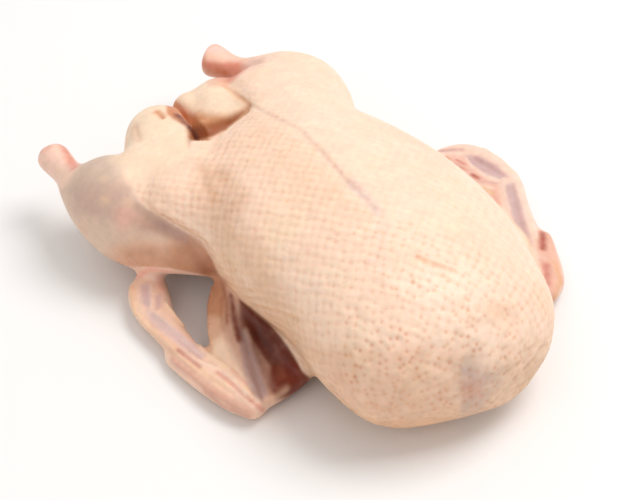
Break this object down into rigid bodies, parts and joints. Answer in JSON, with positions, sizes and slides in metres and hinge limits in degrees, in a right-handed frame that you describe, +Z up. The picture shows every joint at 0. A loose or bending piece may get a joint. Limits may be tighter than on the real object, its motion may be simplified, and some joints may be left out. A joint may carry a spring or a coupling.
{
  "type": "raw whole duck",
  "caption": "Raw plucked whole duck lying on its back, breast up, with folded wings, drumsticks that end in short leg stubs, a tail and an open vent.",
  "frame": {"origin": "centre of the bounding box, on the plane that the bird rests on", "axes": "+X towards the neck end, +Y towards the bird's right side, +Z up, breast up"},
  "size_m": [0.3352, 0.2738, 0.1086],
  "materials": {
    "skin": "satin"
  },
  "bodies": {
    "root": {"duck": "skin"}
  },
  "joints": []
}
